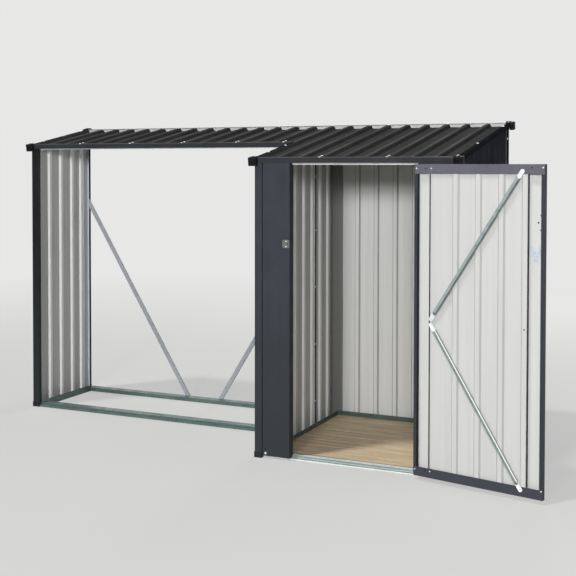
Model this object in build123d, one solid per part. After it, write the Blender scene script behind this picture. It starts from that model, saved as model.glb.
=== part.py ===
"""Log store: an open log bay with a closed tool cupboard beside it, under one ribbed pent roof.

Millimetres. +Z is up, +X to the right seen from the front, and -Y points out of the front.
The origin is at ground level, under the middle of the cupboard. The pieces are drawn with the
cupboard's front in the plane y = 0, and moved back to that origin at the end.
"""

import os
from math import atan, cos, degrees, hypot, radians, sin

from build123d import *

# Overall sizes
cupboard_width = 900.0
cupboard_depth = 900.0
log_width = 1500.0
log_depth = 500.0
front_height = 1306.0
rear_height = 1476.0

# Sheet steel
sheet = 1.0
rib_pitch = 100.0
rib_base = 30.0
roof_rib_crown = 15.0
roof_rib_height = 17.0
wall_rib_crown = 18.0
wall_rib_height = 10.0
wall_rib_from_rear = 78.0
log_rib_from_rear = 156.0
log_edge_rib = 17.0
rear_rib_shift = -12.0
seam_from_rear = 260.0
seam_lip = 10.0
seam_lip_rear = 17.0

# Posts
post_face = 38.0
post_side = 54.0
post_lip = 12.0
post_return = 18.0
groove = 4.0
groove_depth = 12.0
rear_leg = 58.0
rear_lip = 12.0
log_rear_leg = 20.0
log_rear_lip = 16.0

# Base rails, sills and floor
rail_width = 55.0
rail_height = 34.0
sill_height = 18.0
sill_depth = 34.0
sill_step = 8.0
sill_end = 34.0
log_sill_height = 20.0
log_sill_depth = 58.0
log_sill_setback = 4.0
floor_thickness = 12.0
foot_height = 25.0
foot_wall = 2.0

# Beams under the roof
beam_depth = 30.0
header_drop = 8.0
log_header_drop = 5.0
log_header_setback = 14.0
rear_beam_height = 26.0
rear_beam_setback = 2.0
angle_leg = 25.0

# Roof trims and corner caps
trim_lap = 6.0
trim_height = 22.0
trim_flange = 14.0
trim_to_header = 1.0
rear_flange = 10.0
rear_web = 30.0
verge_flange = 8.0
cap_reach = 25.0
cap_inside = 15.0
cap_height = 33.0
cap_top = 3.0
cap_corner = 8.0
cap_knob_radius = 5.0
cap_knob_height = 4.0

# Front panels and doorway
panel_width = 165.0
jamb_depth = 40.0
jamb_lip = 15.0
panel_foot = 12.0
frame_setback = 30.0

# Door
door_gap = 6.0
door_thickness = 18.0
door_foot = 18.0
door_head = 6.0
stile_width = 69.0
stile_lip = 14.0
door_rail_height = 38.0
door_rail_face = 14.0
door_rib_pitch = 98.0
door_rib_height = 7.0
door_first_rib = 115.0
bolt_hole_radius = 2.0
bolt_hole_from_edge = 32.0
bolt_hole_height = 1058.0
fixing_hole_from_edge = 23.0
fixing_hole_spacing = 56.0
open_angle = 167.0

# Door bracing
brace_width = 18.0
brace_depth = 9.0
brace_tab = 36.0
brace_bend = 7.0
brace_tip_from_hinge = 473.0
brace_apex_from_hinge = 74.0
brace_tip_inset = 19.0
apex_gap = 8.0

# Hinges
hinge_count = 3
hinge_height = 60.0
hinge_leaf = 24.0
hinge_plate = 1.5
hinge_radius = 4.0
hinge_pin = 1.6
hinge_play = 0.05
hinge_axial_gap = 0.5
hinge_stand_off = 5.0
hinge_end_inset = 120.0

# Latch plate and catch
latch_width = 32.0
latch_height = 35.0
latch_corner = 3.0
latch_thickness = 2.0
latch_centre_height = 936.0
latch_hole_radius = 1.6
latch_slot_radius = 2.2
latch_slot_length = 9.0
catch_width = 50.0
catch_arm_height = 34.0
catch_notch_width = 24.0
catch_notch_depth = 20.0
catch_stem_width = 16.0
catch_stem_length = 26.0
catch_thickness = 3.0

# Braces behind the log bay
rear_brace_top = 1060.0
rear_brace_run = 640.0
rear_brace_width = 22.0
rear_brace_depth = 8.0

# Worked out from the sizes above
sky = front_height + rear_height
left = -cupboard_width / 2
log_left = left - log_width
log_front = cupboard_depth - log_depth
slope = (rear_height - front_height) / cupboard_depth
pitch_angle = atan(slope)
roof_length = cupboard_depth / cos(pitch_angle)
log_roof_start = log_front / cos(pitch_angle)
sheet_under = sheet + roof_rib_height + sheet
door_left = left + panel_width
opening = cupboard_width - 2 * panel_width
leaf_width = opening - 2 * door_gap
leaf_half = leaf_width / 2
hinge_x = leaf_half + door_gap / 2
hinge_y = -hinge_stand_off
trim_foot = (
    log_header_setback - trim_to_header - trim_height * sin(pitch_angle)
) / cos(pitch_angle)
trim_bottom = front_height - trim_height * cos(pitch_angle) - trim_lap * sin(pitch_angle)
door_top = trim_bottom - door_head
header_bottom = trim_bottom - header_drop
wall_inner = left + sheet + wall_rib_height + sheet
log_wall_inner = log_left + sheet + wall_rib_height + sheet
rear_inner = cupboard_depth - sheet - wall_rib_height - sheet
rear_post_front = cupboard_depth - post_side
sill_back = frame_setback + sill_depth
log_sill_back = log_front + log_sill_setback + log_sill_depth
rear_rail_front = cupboard_depth - rail_width
log_rear_rail_front = cupboard_depth - log_sill_depth
rear_web_lean = min(0.0, rear_web * sin(pitch_angle))
rear_beam_front = cupboard_depth - rear_beam_setback - beam_depth + rear_web_lean
seam = cupboard_depth - seam_from_rear

ROOF = Plane(
    origin=(0, 0, front_height),
    x_dir=(1, 0, 0),
    z_dir=(0, -sin(pitch_angle), cos(pitch_angle)),
)


def unit(a, b):
    """Direction from a to b."""
    length = hypot(b[0] - a[0], b[1] - a[1])
    return (b[0] - a[0]) / length, (b[1] - a[1]) / length


def fold(points, thickness=sheet):
    """Section of a sheet bent along the points; it lies to the left of the way they run."""
    far_side = []
    for i, point in enumerate(points):
        before = unit(points[i - 1], point) if i > 0 else unit(point, points[i + 1])
        after = unit(point, points[i + 1]) if i < len(points) - 1 else before
        n1 = (-before[1], before[0])
        n2 = (-after[1], after[0])
        reach = thickness / (1 + n1[0] * n2[0] + n1[1] * n2[1])
        far_side.append((point[0] + reach * (n1[0] + n2[0]), point[1] + reach * (n1[1] + n2[1])))
    outline = list(points) + far_side[::-1]
    return make_face(Polyline(*outline, close=True))


def upright(section, bottom, top):
    """A plan section (x, y) stood up from bottom to top."""
    return Pos(0, 0, bottom) * extrude(section, amount=top - bottom)


def along_x(section, start, end):
    """A section drawn as (y, z), run from x = start to x = end."""
    plane = Plane(origin=(start, 0, 0), x_dir=(0, 1, 0), z_dir=(1, 0, 0))
    return extrude(plane * section, amount=end - start)


def along_y(section, start, end):
    """A section drawn as (x, z), run from y = start to y = end."""
    plane = Plane(origin=(0, end, 0), x_dir=(1, 0, 0), z_dir=(0, -1, 0))
    return extrude(plane * section, amount=end - start)


def on_roof(piece):
    """Tilts a piece drawn flat (x across, y up the slope, z off the roof) onto the roof plane."""
    return ROOF.location * piece


def block(low, high):
    """A box between two corners."""
    return Pos(*low) * Box(*(b - a for a, b in zip(low, high)), align=(Align.MIN,) * 3)


def above_roof(depth_below):
    """Everything higher than a plane that lies below the roof's top by the given depth."""
    return on_roof(block((log_left - sky, -sky, -depth_below), (sky, roof_length + sky, sky)))


def together(pieces):
    """Like pieces that stand apart, kept as one."""
    whole = Part()
    for piece in pieces:
        whole += piece
    return whole


def right_side(piece):
    """The same piece on the cupboard's other side."""
    return mirror(piece, about=Plane.YZ)


def rib_line(length, centres, crown, height):
    """A sheet's line as (along, out), with a rib at each centre."""
    points = [(0, 0)]
    for centre in centres:
        points.append((centre - rib_base / 2, 0))
        points.append((centre - crown / 2, height))
        points.append((centre + crown / 2, height))
        points.append((centre + rib_base / 2, 0))
    points.append((length, 0))
    return points


def side_wall_ribs(front, rear, from_rear):
    """Rib centres on a side wall, measured from its front end, on one grid from the rear."""
    centres = []
    y = cupboard_depth - from_rear
    while y > front + rib_base:
        if y < rear - rib_base / 2 - sheet:
            centres.append(y - front)
        y -= rib_pitch
    return centres[::-1]


def side_wall_line(flat_x, front, rear, centres):
    """Plan of a left side wall's sheet, from front to rear, with its ribs raised inward."""
    line = rib_line(rear - front, centres, wall_rib_crown, wall_rib_height)
    return [(flat_x + inward, front + along) for along, inward in line]


def side_wall(points):
    """A wall sheet stood up from its plan and cut to the roof's slope."""
    return upright(fold(points), sheet, sky) - above_roof(sheet_under)


# Walls


def wall_log_left():
    """The sheet at the log bay's end, whose last rib stands close to the rear post."""
    front = log_front + post_side
    centres = side_wall_ribs(front, rear_post_front, log_rib_from_rear)
    centres.append(rear_post_front - front - log_edge_rib)
    return side_wall(side_wall_line(log_left + 2 * sheet, front, rear_post_front, centres))


def wall_left_front():
    """The cupboard's front side sheet, turned in at the seam."""
    centres = side_wall_ribs(post_side, seam, wall_rib_from_rear)
    points = side_wall_line(left + 2 * sheet, post_side, seam, centres)
    return side_wall(points + [(left + 2 * sheet + seam_lip, seam)])


def wall_left_rear():
    """The cupboard's rear side sheet, turned in behind the front sheet's lip."""
    front = seam + 2 * sheet
    centres = side_wall_ribs(front, rear_post_front, wall_rib_from_rear)
    points = side_wall_line(left + 2 * sheet, front, rear_post_front, centres)
    return side_wall([(left + 2 * sheet + seam_lip_rear, front)] + points)


def wall_rear():
    start = left + rear_leg
    length = cupboard_width - 2 * rear_leg
    count = int((length - rib_base) / rib_pitch / 2)
    middle = length / 2 + rear_rib_shift
    centres = [middle + k * rib_pitch for k in range(-count, count + 1)]
    line = rib_line(length, centres, wall_rib_crown, wall_rib_height)
    flat_y = rear_inner + wall_rib_height
    points = [(start + along, flat_y - inward) for along, inward in line]
    return upright(fold(points), sheet, sky) - above_roof(sheet_under)


# Posts


def front_post(corner_x, corner_y, face):
    points = [
        (corner_x + post_lip, corner_y + post_side),
        (corner_x, corner_y + post_side),
        (corner_x, corner_y),
        (corner_x + face, corner_y),
        (corner_x + face, corner_y + post_return),
    ]
    return upright(fold(points), 0, sky) - above_roof(trim_height)


def rear_post(corner_x, leg, lip):
    points = [
        (corner_x + leg, cupboard_depth - lip),
        (corner_x + leg, cupboard_depth),
        (corner_x, cupboard_depth),
        (corner_x, rear_post_front),
        (corner_x + post_lip, rear_post_front),
    ]
    return upright(fold(points), 0, sky) - above_roof(sheet_under)


# Base rails, sills and floor


def base_rail(outer_x, front, rear):
    """A channel open at the top, in which a side wall stands."""
    points = [
        (outer_x, rail_height),
        (outer_x, 0),
        (outer_x + rail_width, 0),
        (outer_x + rail_width, rail_height),
    ]
    return along_y(fold(points), front, rear)


def base_rail_rear():
    points = [
        (rear_rail_front, rail_height),
        (rear_rail_front, 0),
        (cupboard_depth, 0),
        (cupboard_depth, rail_height),
    ]
    return along_x(fold(points), left + rear_leg, -left - rear_leg)


def stepped_sill(front, depth, height, start, end, toward=1):
    """A folded threshold with a low step along its outer edge."""
    points = [
        (front + toward * depth, 0),
        (front + toward * depth, height),
        (front + toward * sill_step, height),
        (front + toward * sill_step, height - sill_step),
        (front, height - sill_step),
        (front, 0),
    ]
    if toward < 0:
        points = points[::-1]
    return along_x(fold(points), start, end)


def cupboard_floor():
    return block(
        (left + rail_width, sill_back, 0), (-left - rail_width, rear_rail_front, floor_thickness)
    )


def foot(corner_x, corner_y, face, side):
    """A plastic shoe round the outside of a front post's foot."""
    points = [(corner_x, corner_y + side), (corner_x, corner_y), (corner_x + face, corner_y)]
    return upright(fold(points, -foot_wall), 0, foot_height)


def foot_mirror(piece):
    """Turns a shoe for a front corner into one for the rear corner behind it."""
    return Pos(0, cupboard_depth, 0) * mirror(piece, about=Plane.XZ)


# Beams


def channel_beam(front, bottom, start, end):
    """A channel open at the top, cut to the roof's underside."""
    points = [
        (front, sky),
        (front, bottom),
        (front + beam_depth, bottom),
        (front + beam_depth, sky),
    ]
    return along_x(fold(points), start, end) - above_roof(sheet_under)


def roof_top_at(y):
    return front_height + slope * y


def wall_angle(inner_x, front, rear):
    """An angle along the inside of a side wall's top edge."""
    points = [
        (inner_x, -sheet_under - angle_leg),
        (inner_x, -sheet_under),
        (inner_x + angle_leg, -sheet_under),
    ]
    start = front / cos(pitch_angle)
    end = rear / cos(pitch_angle) - (sheet_under + angle_leg) * slope
    return on_roof(along_y(fold(points, -sheet), start, end))


# Roof


def roof_sheet(start_x, width, start, end):
    """A ribbed sheet with half a rib at each edge."""
    count = max(1, round(width / rib_pitch))
    step = width / count
    low = -sheet - roof_rib_height
    high = -sheet
    points = [(start_x, high), (start_x + roof_rib_crown / 2, high), (start_x + rib_base / 2, low)]
    for k in range(1, count):
        centre = start_x + k * step
        points.append((centre - rib_base / 2, low))
        points.append((centre - roof_rib_crown / 2, high))
        points.append((centre + roof_rib_crown / 2, high))
        points.append((centre + rib_base / 2, low))
    end_x = start_x + width
    points += [(end_x - rib_base / 2, low), (end_x - roof_rib_crown / 2, high), (end_x, high)]
    return on_roof(along_y(fold(points, -sheet), start, end))


def front_trim(start_x, end_x, edge):
    """A channel that grips the front edge of a roof sheet; edge is where the sheet ends."""
    front = edge - trim_lap
    points = [
        (edge + trim_foot, -trim_height),
        (front, -trim_height),
        (front, 0),
        (edge + trim_flange, 0),
    ]
    return on_roof(along_x(fold(points, -sheet), start_x, end_x))


def rear_trim():
    back = roof_length + sheet
    points = [(roof_length - rear_flange, 0), (back, 0), (back, -rear_web)]
    return on_roof(along_x(fold(points, -sheet), log_left - trim_lap, -left + trim_lap))


def verge_trim(edge_x, start, end):
    """An angle over the half rib at a left edge of the roof."""
    points = [
        (edge_x - trim_lap, -trim_height),
        (edge_x - trim_lap, 0),
        (edge_x + verge_flange, 0),
    ]
    return on_roof(along_y(fold(points, -sheet), start, end))


def corner_cap(corner_x, corner_v, corner_y, toward):
    """A moulded cap over a left corner of the roof; toward is 1 at the front and -1 at the rear."""
    shell = Box(
        cap_reach + cap_inside,
        cap_reach + cap_inside,
        cap_height + cap_top,
        align=(Align.MIN, Align.MIN, Align.MIN),
    )
    shell = Pos(-cap_reach, -cap_reach, -cap_height) * shell
    upright_edges = shell.edges().filter_by(Axis.Z)
    shell = fillet(upright_edges, cap_corner)
    shell = chamfer(shell.faces().sort_by(Axis.Z)[-1].edges(), cap_top / 2)
    for offset in (-cap_knob_radius, 2 * cap_knob_radius):
        knob = Cylinder(
            cap_knob_radius, cap_knob_height, align=(Align.CENTER, Align.CENTER, Align.MIN)
        )
        knob = chamfer(knob.faces().sort_by(Axis.Z)[-1].edges(), cap_knob_height / 3)
        shell += Pos(offset, -cap_knob_radius, cap_top) * knob
    far = cap_reach + cap_inside
    shell -= block((-trim_lap, -trim_lap, -2 * cap_height), (far, far, 0))
    if toward < 0:
        shell = mirror(shell, about=Plane.XZ)
    shell = on_roof(Pos(corner_x, corner_v, 0) * shell)
    inside = block(
        (corner_x - trim_lap, min(0, toward * far) - (trim_lap if toward > 0 else 0), 0),
        (corner_x + far, max(0, toward * far) + (trim_lap if toward < 0 else 0), trim_bottom_at(corner_y)),
    )
    return shell - Pos(0, corner_y, 0) * inside


def trim_bottom_at(y):
    """Height of the underside of the trims over a post at y."""
    return roof_top_at(y) - trim_height * cos(pitch_angle)


# Front panels


def front_panel():
    """The fixed panel left of the doorway, folded in at its edge to make the jamb."""
    edge = left + post_face
    points = [
        (edge - groove, groove_depth),
        (edge, groove_depth),
        (edge, 0),
        (door_left, 0),
        (door_left, jamb_depth),
        (door_left - jamb_lip, jamb_depth),
    ]
    panel = upright(fold(points), panel_foot, sky) - above_roof(trim_height)
    panel -= block((left, frame_setback, 0), (0, sill_back, sill_height))
    panel -= block((left, frame_setback, header_bottom), (0, sill_back, sky))
    return panel


def latch_plate():
    plate = RectangleRounded(latch_width, latch_height, latch_corner)
    for side in (-1, 1):
        plate -= Pos(-latch_width / 8, side * latch_height / 8) * Circle(latch_hole_radius)
    slot = Rot(0, 0, 90) * SlotOverall(latch_slot_length, 2 * latch_slot_radius)
    plate -= Pos(latch_width / 4, 0) * slot
    centre = (door_left - latch_width / 2, 0, latch_centre_height)
    plane = Plane(origin=centre, x_dir=(1, 0, 0), z_dir=(0, -1, 0))
    return extrude(plane * plate, amount=latch_thickness)


# Door, drawn closed and then swung open


def open_door(piece):
    """Swings a piece drawn on the closed door to its open place."""
    return Pos(hinge_x, hinge_y, 0) * Rot(0, 0, open_angle) * Pos(-hinge_x, -hinge_y, 0) * piece


def door_panel():
    """The ribbed sheet between the stiles, with its ribs raised inward up to the rails' lips."""
    width = leaf_width - 2 * stile_width - 2 * sheet
    start = leaf_half - stile_width - sheet
    flat = door_thickness - 2 * sheet - door_rib_height
    points = [(0, 0)]
    centre = door_first_rib - sheet
    while centre + door_rib_pitch < width:
        points.append((centre - rib_base / 2, 0))
        points.append((centre - wall_rib_crown / 2, door_rib_height))
        points.append((centre + wall_rib_crown / 2, door_rib_height))
        points.append((centre + rib_base / 2, 0))
        centre += door_rib_pitch
    points.append((centre - rib_base / 2, 0))
    points.append((centre - wall_rib_crown / 2, door_rib_height))
    points.append((width, door_rib_height))
    line = [(start - along, flat + inward) for along, inward in points]
    return upright(fold(line, -sheet), door_foot + sheet, door_top - sheet)


def door_stile():
    """The stile on the hinge side: a flat face, with its edge turned back over the inside."""
    points = [
        (leaf_half - stile_width, door_thickness),
        (leaf_half - stile_width, 0),
        (leaf_half, 0),
        (leaf_half, door_thickness),
        (leaf_half - stile_lip, door_thickness),
    ]
    stile = upright(fold(points), door_foot, door_top)
    return stile - door_rail(door_top, -1) - door_rail(door_foot, 1)


def free_stile():
    """The other stile, drilled for a bolt and its two fixings."""
    stile = right_side(door_stile())
    places = [
        (bolt_hole_from_edge, 0),
        (fixing_hole_from_edge, fixing_hole_spacing / 2),
        (fixing_hole_from_edge, -fixing_hole_spacing / 2),
    ]
    for from_edge, above in places:
        place = (from_edge - leaf_half, 0, bolt_hole_height + above)
        stile -= Pos(*place) * Rot(90, 0, 0) * Cylinder(bolt_hole_radius, stile_lip)
    return stile


def door_rail(web, toward):
    """A cross rail whose web is at height web; toward is 1 for the bottom rail, -1 for the top."""
    inside = door_thickness - sheet
    far_edge = web + toward * door_rail_height
    lip = [(door_thickness, far_edge), (door_thickness, web), (sheet, web)]
    whole = along_x(fold(lip, -sheet * toward), sheet - leaf_half, leaf_half - sheet)
    face = [(0, web + toward * door_rail_face), (0, web), (inside, web)]
    end = leaf_half - stile_width
    return whole + along_x(fold(face, sheet * toward), -end, end)


def door_brace(tip_z, apex_z):
    """A strut on the door's inner face: a channel, flattened and rounded at both ends."""
    tip = (leaf_half - brace_tip_from_hinge, tip_z)
    apex = (leaf_half - brace_apex_from_hinge, apex_z)
    length = hypot(tip[0] - apex[0], tip[1] - apex[1])
    angle = degrees(atan((tip[1] - apex[1]) / (apex[0] - tip[0])))
    half = brace_width / 2
    walls = [(-half, 0), (-half, brace_depth), (half, brace_depth), (half, 0)]
    channel = extrude(fold(walls, -sheet), amount=length - 2 * brace_tab)
    under_web = brace_depth - sheet
    bend = [(half, 0), (brace_tab - brace_bend, 0), (brace_tab, under_web), (brace_tab + sheet, under_web)]
    side_view = Plane(origin=(half, 0, -length / 2), x_dir=(0, 0, 1), z_dir=(-1, 0, 0))
    tab = extrude(side_view * fold(bend), amount=brace_width)
    tab += Pos(0, sheet / 2, half - length / 2) * Rot(90, 0, 0) * Cylinder(half, sheet)
    strut = Pos(0, 0, brace_tab - length / 2) * channel + tab + mirror(tab, about=Plane.XY)
    strut = Rot(0, -90 + angle, 0) * Pos(0, 0, length / 2) * strut
    return Pos(apex[0], door_thickness, apex[1]) * strut


def door_catch():
    """A notched plate across the free stile, with a stem that points down."""
    arms = Rectangle(catch_width, catch_arm_height, align=(Align.CENTER, Align.MIN))
    half = catch_notch_width / 2
    low = catch_arm_height - catch_notch_depth
    notch = [(-half, catch_arm_height), (0, low), (half, catch_arm_height)]
    arms -= make_face(Polyline(*notch, close=True))
    stem = Rectangle(catch_stem_width, catch_stem_length, align=(Align.CENTER, Align.MAX))
    middle = (stile_lip + stile_width) / 2 - leaf_half
    plane = Plane(origin=(middle, sheet, latch_centre_height), x_dir=(-1, 0, 0), z_dir=(0, 1, 0))
    return extrude(plane * (arms + stem), amount=catch_thickness)


def hinge_heights():
    low = door_foot + hinge_end_inset
    high = door_top - hinge_end_inset
    step = (high - low) / (hinge_count - 1)
    return [low + k * step for k in range(hinge_count)]


def knuckle(bottom, height, bore):
    ring = Circle(hinge_radius) - Circle(bore) if bore else Circle(hinge_radius)
    return Pos(hinge_x, hinge_y, bottom) * extrude(ring, amount=height)


def hinge_fixed(middle):
    """The half screwed to the right-hand panel, with the middle knuckle."""
    third = hinge_height / 3
    start = hinge_x + hinge_radius + hinge_axial_gap
    base = middle - hinge_height / 2
    leaf = block((start, -hinge_plate, base), (start + hinge_leaf, 0, base + hinge_height))
    tab = block(
        (hinge_x + hinge_radius / 2, hinge_y + hinge_radius / 2, middle - third / 2 + hinge_axial_gap),
        (start, 0, middle + third / 2 - hinge_axial_gap),
    )
    ring = knuckle(middle - third / 2 + hinge_axial_gap, third - 2 * hinge_axial_gap, 0)
    bore = Cylinder(hinge_pin + hinge_play, hinge_height)
    return (leaf + tab + ring) - Pos(hinge_x, hinge_y, middle) * bore


def hinge_moving(middle):
    """The half screwed to the door's outer face, with the outer knuckles and the pin."""
    third = hinge_height / 3
    end = hinge_x - hinge_radius - hinge_axial_gap
    base = middle - hinge_height / 2
    leaf = block((end - hinge_leaf, -hinge_plate, base), (end, 0, base + hinge_height))
    pin = Pos(hinge_x, hinge_y, middle) * Cylinder(hinge_pin, hinge_height)
    half = leaf + pin
    for bottom in (base, middle + third / 2):
        half += knuckle(bottom, third, 0)
        half += block(
            (end, hinge_y + hinge_radius / 2, bottom), (hinge_x - hinge_radius / 2, 0, bottom + third)
        )
    return half


# Braces behind the log bay


def rear_brace():
    """The strut from the left rear post down to the rear sill."""
    post_x = log_left + log_rear_leg
    rise = rear_brace_top - log_sill_height
    length = hypot(rise, rear_brace_run)
    lean = degrees(atan(rear_brace_run / rise))
    half = rear_brace_width / 2
    points = [(-half, rear_brace_depth), (-half, 0), (half, 0), (half, rear_brace_depth)]
    strut = extrude(fold(points), amount=length + 2 * rear_brace_width)
    strut = Pos(0, 0, -length - rear_brace_width) * strut
    back = cupboard_depth - log_rear_lip
    strut = Pos(post_x, back, rear_brace_top) * Rot(0, -lean, 0) * strut
    far = cupboard_depth
    strut -= block((post_x - far, 0, 0), (post_x, 2 * far, sky))
    strut -= block((log_left, 0, -far), (0, 2 * far, log_sill_height))
    return strut


def mid_log(piece):
    """The same piece at the other end of the log bay."""
    middle = (log_left + log_rear_leg + left) / 2
    return Pos(2 * middle, 0, 0) * mirror(piece, about=Plane.YZ)


def build():
    front_left = front_post(left, 0, post_face - groove)
    cap_front = corner_cap(left, 0, 0, 1)
    angle_log = wall_angle(log_wall_inner, log_front + post_side, rear_post_front)
    angle_left = wall_angle(wall_inner, seam + 2 * sheet, rear_post_front)
    verge_end = roof_length - rear_flange
    nodes = {
        "post_log_front": front_post(log_left, log_front, post_face),
        "post_log_rear": rear_post(log_left, log_rear_leg, log_rear_lip),
        "post_front_left": front_left,
        "post_front_right": right_side(front_left),
        "post_rear_left": rear_post(left, rear_leg, rear_lip),
        "post_rear_right": right_side(rear_post(left, rear_leg, rear_lip)),
        "base_rail_log_left": base_rail(log_left, log_sill_back, log_rear_rail_front),
        "base_rail_left": base_rail(left, sill_back, rear_rail_front),
        "base_rail_right": right_side(base_rail(left, sill_back, rear_rail_front)),
        "base_rail_rear": base_rail_rear(),
        "door_sill": stepped_sill(
            frame_setback, sill_depth, sill_height, left + sill_end, -left - sill_end
        ),
        "log_sill": stepped_sill(
            log_front + log_sill_setback, log_sill_depth, log_sill_height, log_left + post_face, left
        ),
        "log_rear_sill": stepped_sill(
            cupboard_depth, log_sill_depth, log_sill_height, log_left + log_rear_leg, left, -1
        ),
        "cupboard_floor": cupboard_floor(),
        "wall_log_left": wall_log_left(),
        "wall_left_front": wall_left_front(),
        "wall_left_rear": wall_left_rear(),
        "wall_right_front": right_side(wall_left_front()),
        "wall_right_rear": right_side(wall_left_rear()),
        "wall_rear": wall_rear(),
        "front_panel_left": front_panel(),
        "front_panel_right": right_side(front_panel()),
        "door_header": channel_beam(
            frame_setback, header_bottom, left + post_lip, -left - post_lip
        ),
        "log_header": channel_beam(
            log_front + log_header_setback,
            trim_bottom_at(log_front) - log_header_drop,
            log_left + post_face,
            left + sheet,
        ),
        "rear_beam_log": channel_beam(
            rear_beam_front,
            rear_height - sheet_under - rear_beam_height,
            log_left + log_rear_leg,
            left,
        ),
        "rear_beam": channel_beam(
            rear_inner - beam_depth,
            rear_height - sheet_under - rear_beam_height,
            left + rear_leg,
            -left - rear_leg,
        ),
        "wall_top_angles": together([angle_log, angle_left, right_side(angle_left)]),
        "roof_log": roof_sheet(log_left, log_width, log_roof_start, roof_length),
        "roof_cupboard": roof_sheet(left, cupboard_width, 0, roof_length),
        "trim_log_front": front_trim(log_left - trim_lap, left, log_roof_start),
        "trim_front": front_trim(left - trim_lap, -left + trim_lap, 0),
        "trim_rear": rear_trim(),
        "trims_verge": together(
            [
                verge_trim(log_left, log_roof_start + trim_flange, verge_end),
                verge_trim(left, trim_flange, log_roof_start - trim_lap),
                right_side(verge_trim(left, trim_flange, verge_end)),
            ]
        ),
        "corner_caps": together(
            [
                corner_cap(log_left, log_roof_start, log_front, 1),
                corner_cap(log_left, roof_length, cupboard_depth, -1),
                cap_front,
                right_side(cap_front),
                right_side(corner_cap(left, roof_length, cupboard_depth, -1)),
            ]
        ),
        "post_shoes": together(
            [
                foot(log_left, log_front, post_face, post_side),
                foot_mirror(foot(log_left, 0, log_rear_leg, post_side)),
                foot(left, 0, post_face - groove, post_side),
                right_side(foot(left, 0, post_face - groove, post_side)),
                right_side(foot_mirror(foot(left, 0, rear_leg, post_side))),
            ]
        ),
        "rear_braces": together([rear_brace(), mid_log(rear_brace())]),
        "latch_plate": latch_plate(),
        "hinges_fixed": together([hinge_fixed(z) for z in hinge_heights()]),
    }
    middle = (door_top + door_foot) / 2
    door = {
        "door_panel": door_panel(),
        "door_stile_hinge": door_stile(),
        "door_stile_free": free_stile(),
        "door_rail_top": door_rail(door_top, -1),
        "door_rail_bottom": door_rail(door_foot, 1),
        "door_brace_upper": door_brace(door_top - brace_tip_inset, middle + apex_gap / 2),
        "door_brace_lower": door_brace(door_foot + brace_tip_inset, middle - apex_gap / 2),
        "door_catch": door_catch(),
        "hinges_door": together([hinge_moving(z) for z in hinge_heights()]),
    }
    for name, piece in door.items():
        nodes[name] = open_door(piece)
    return {name: Pos(0, -cupboard_depth / 2, 0) * piece for name, piece in nodes.items()}


os.makedirs("parts", exist_ok=True)
for node, shape in build().items():
    shape.label = node
    export_step(shape, f"parts/{node}.step")
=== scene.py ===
"""Looks for the log store: paint, primer, zinc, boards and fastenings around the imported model.

It stands in a plain pale studio, seen from the photograph's place. All sizes are in metres.
"""

import math

import bmesh
import bpy
from mathutils import Matrix, Vector


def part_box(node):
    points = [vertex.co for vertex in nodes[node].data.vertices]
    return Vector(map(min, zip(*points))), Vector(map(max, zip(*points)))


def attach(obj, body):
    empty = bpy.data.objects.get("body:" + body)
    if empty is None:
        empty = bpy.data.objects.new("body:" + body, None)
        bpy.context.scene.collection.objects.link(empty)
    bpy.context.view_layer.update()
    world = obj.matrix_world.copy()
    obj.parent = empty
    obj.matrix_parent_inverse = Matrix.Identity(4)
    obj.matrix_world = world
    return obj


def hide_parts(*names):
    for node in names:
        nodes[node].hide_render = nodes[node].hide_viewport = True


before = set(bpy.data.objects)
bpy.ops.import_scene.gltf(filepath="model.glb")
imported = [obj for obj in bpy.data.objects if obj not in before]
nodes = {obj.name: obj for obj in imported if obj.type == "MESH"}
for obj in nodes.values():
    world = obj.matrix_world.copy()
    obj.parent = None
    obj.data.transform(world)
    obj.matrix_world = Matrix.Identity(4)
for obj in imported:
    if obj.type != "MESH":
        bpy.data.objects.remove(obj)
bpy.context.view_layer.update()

# Sizes shared with the model
LEFT = -0.45
RIGHT = 0.45
LOG_LEFT = -1.95
FRONT = -0.45
LOG_FRONT = -0.05
REAR = 0.45
FRONT_HEIGHT = 1.306
REAR_HEIGHT = 1.476
DEPTH = REAR - FRONT
PITCH = math.atan((REAR_HEIGHT - FRONT_HEIGHT) / DEPTH)
SHEET = 0.001
SEAM_BACK = 0.640
SEAM = FRONT + SEAM_BACK
LOG_REAR_LEG = 0.020
OPEN_ANGLE = math.radians(167.0)
HINGE_X = 0.282
HINGE_OUT = 0.005
HINGE = Vector((HINGE_X, FRONT - HINGE_OUT, 0.0))
LEAF_HALF = 0.279
LEAF_WIDTH = 2 * LEAF_HALF
STILE_LIP = 0.014
DOOR_FOOT = 0.018
DOOR_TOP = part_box("door_rail_top")[1].z
DOOR_INNER = 0.018
BOLT_HOLE_INSET = 0.032
BOLT_HOLE_HEIGHT = 1.058
BOLT_SCREW_INSET = 0.023
BOLT_SCREW_OFFSET = 0.028
BRACE_TIP = 0.473
BRACE_APEX = 0.074
BRACE_TIP_INSET = 0.019
BRACE_DEPTH = 0.009
APEX_GAP = 0.008
LATCH_X = -0.301
LATCH_OUT = 0.002
LATCH_HEIGHT = 0.936
LATCH_CENTRE = Vector((LATCH_X, FRONT - LATCH_OUT, LATCH_HEIGHT))
FLOOR_LOW, FLOOR_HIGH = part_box("cupboard_floor")

# Directions
UP = (0, 0, 1)
UNDER = (0, 0, -1)
TO_FRONT = (0, -1, 0)
TO_REAR = (0, 1, 0)
TO_RIGHT = (1, 0, 0)
TO_LEFT = (-1, 0, 0)


def level(x, y):
    """A level direction of length 1."""
    return tuple(Vector((x, y, 0)).normalized())


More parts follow.
